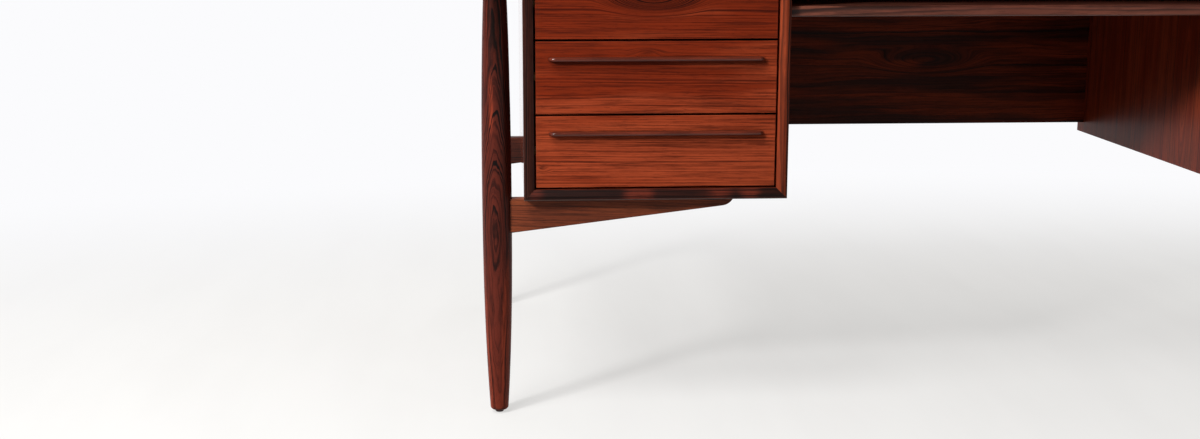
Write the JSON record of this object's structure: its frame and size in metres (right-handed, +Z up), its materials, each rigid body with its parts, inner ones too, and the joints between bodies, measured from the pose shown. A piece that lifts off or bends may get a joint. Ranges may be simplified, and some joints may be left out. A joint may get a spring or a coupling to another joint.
{
  "type": "executive desk",
  "caption": "Pedestal writing desk: drawer cases hung on tapered arms between turned legs, with slim lip pulls, an open knee shelf and a modesty panel.",
  "frame": {"origin": "on the floor, under the centre of the desktop's outline", "axes": "+X to the sitter's right along the desk, -Y towards the sitter (the drawers open that way), +Z up"},
  "size_m": [1.7, 0.8, 0.737],
  "materials": {
    "rosewood_veneer": "figured rosewood veneer, satin lacquer",
    "rosewood_solid": "solid rosewood, satin lacquer",
    "drawer_oak": "oiled oak",
    "drawer_plywood": "bare plywood",
    "glide_steel": "darkened steel",
    "screw_steel": "bright zinc-plated steel"
  },
  "bodies": {
    "desk": {"assembly_screws": "screw_steel", "desktop_lipping_back": "rosewood_solid", "desktop_lipping_front": "rosewood_solid", "desktop_lipping_left": "rosewood_solid", "desktop_lipping_right": "rosewood_solid", "desktop_panel": "rosewood_veneer", "foot_glides": "glide_steel", "knee_shelf": "rosewood_veneer", "left_arm_back": "rosewood_solid", "left_arm_front": "rosewood_solid", "left_case_back": "rosewood_veneer", "left_case_bottom": "rosewood_veneer", "left_case_inner_side": "rosewood_veneer", "left_case_outer_side": "rosewood_veneer", "left_case_top": "rosewood_veneer", "left_leg_back": "rosewood_solid", "left_leg_front": "rosewood_solid", "left_runners": "drawer_oak", "modesty_panel": "rosewood_veneer", "right_arm_back": "rosewood_solid", "right_arm_front": "rosewood_solid", "right_case_back": "rosewood_veneer", "right_case_bottom": "rosewood_veneer", "right_case_inner_side": "rosewood_veneer", "right_case_outer_side": "rosewood_veneer", "right_case_top": "rosewood_veneer", "right_leg_back": "rosewood_solid", "right_leg_front": "rosewood_solid", "right_runners": "drawer_oak"},
    "left_bottom_drawer": {"left_bottom_drawer_back": "drawer_oak", "left_bottom_drawer_bottom": "drawer_plywood", "left_bottom_drawer_front": "rosewood_veneer", "left_bottom_drawer_pull": "rosewood_solid", "left_bottom_drawer_sides": "drawer_oak"},
    "left_middle_drawer": {"left_middle_drawer_back": "drawer_oak", "left_middle_drawer_bottom": "drawer_plywood", "left_middle_drawer_front": "rosewood_veneer", "left_middle_drawer_pull": "rosewood_solid", "left_middle_drawer_sides": "drawer_oak"},
    "left_top_drawer": {"left_top_drawer_back": "drawer_oak", "left_top_drawer_bottom": "drawer_plywood", "left_top_drawer_front": "rosewood_veneer", "left_top_drawer_pull": "rosewood_solid", "left_top_drawer_sides": "drawer_oak"},
    "right_bottom_drawer": {"right_bottom_drawer_back": "drawer_oak", "right_bottom_drawer_bottom": "drawer_plywood", "right_bottom_drawer_front": "rosewood_veneer", "right_bottom_drawer_pull": "rosewood_solid", "right_bottom_drawer_sides": "drawer_oak"},
    "right_middle_drawer": {"right_middle_drawer_back": "drawer_oak", "right_middle_drawer_bottom": "drawer_plywood", "right_middle_drawer_front": "rosewood_veneer", "right_middle_drawer_pull": "rosewood_solid", "right_middle_drawer_sides": "drawer_oak"},
    "right_top_drawer": {"right_top_drawer_back": "drawer_oak", "right_top_drawer_bottom": "drawer_plywood", "right_top_drawer_front": "rosewood_veneer", "right_top_drawer_pull": "rosewood_solid", "right_top_drawer_sides": "drawer_oak"}
  },
  "joints": [
    {"name": "left_bottom_drawer_slide", "type": "slide", "parent": "desk", "child": "left_bottom_drawer", "axis": [0, -1, 0], "range_m": [0, 0.4]},
    {"name": "left_middle_drawer_slide", "type": "slide", "parent": "desk", "child": "left_middle_drawer", "axis": [0, -1, 0], "range_m": [0, 0.4]},
    {"name": "left_top_drawer_slide", "type": "slide", "parent": "desk", "child": "left_top_drawer", "axis": [0, -1, 0], "range_m": [0, 0.4]},
    {"name": "right_bottom_drawer_slide", "type": "slide", "parent": "desk", "child": "right_bottom_drawer", "axis": [0, -1, 0], "range_m": [0, 0.4]},
    {"name": "right_middle_drawer_slide", "type": "slide", "parent": "desk", "child": "right_middle_drawer", "axis": [0, -1, 0], "range_m": [0, 0.4]},
    {"name": "right_top_drawer_slide", "type": "slide", "parent": "desk", "child": "right_top_drawer", "axis": [0, -1, 0], "range_m": [0, 0.4]}
  ]
}
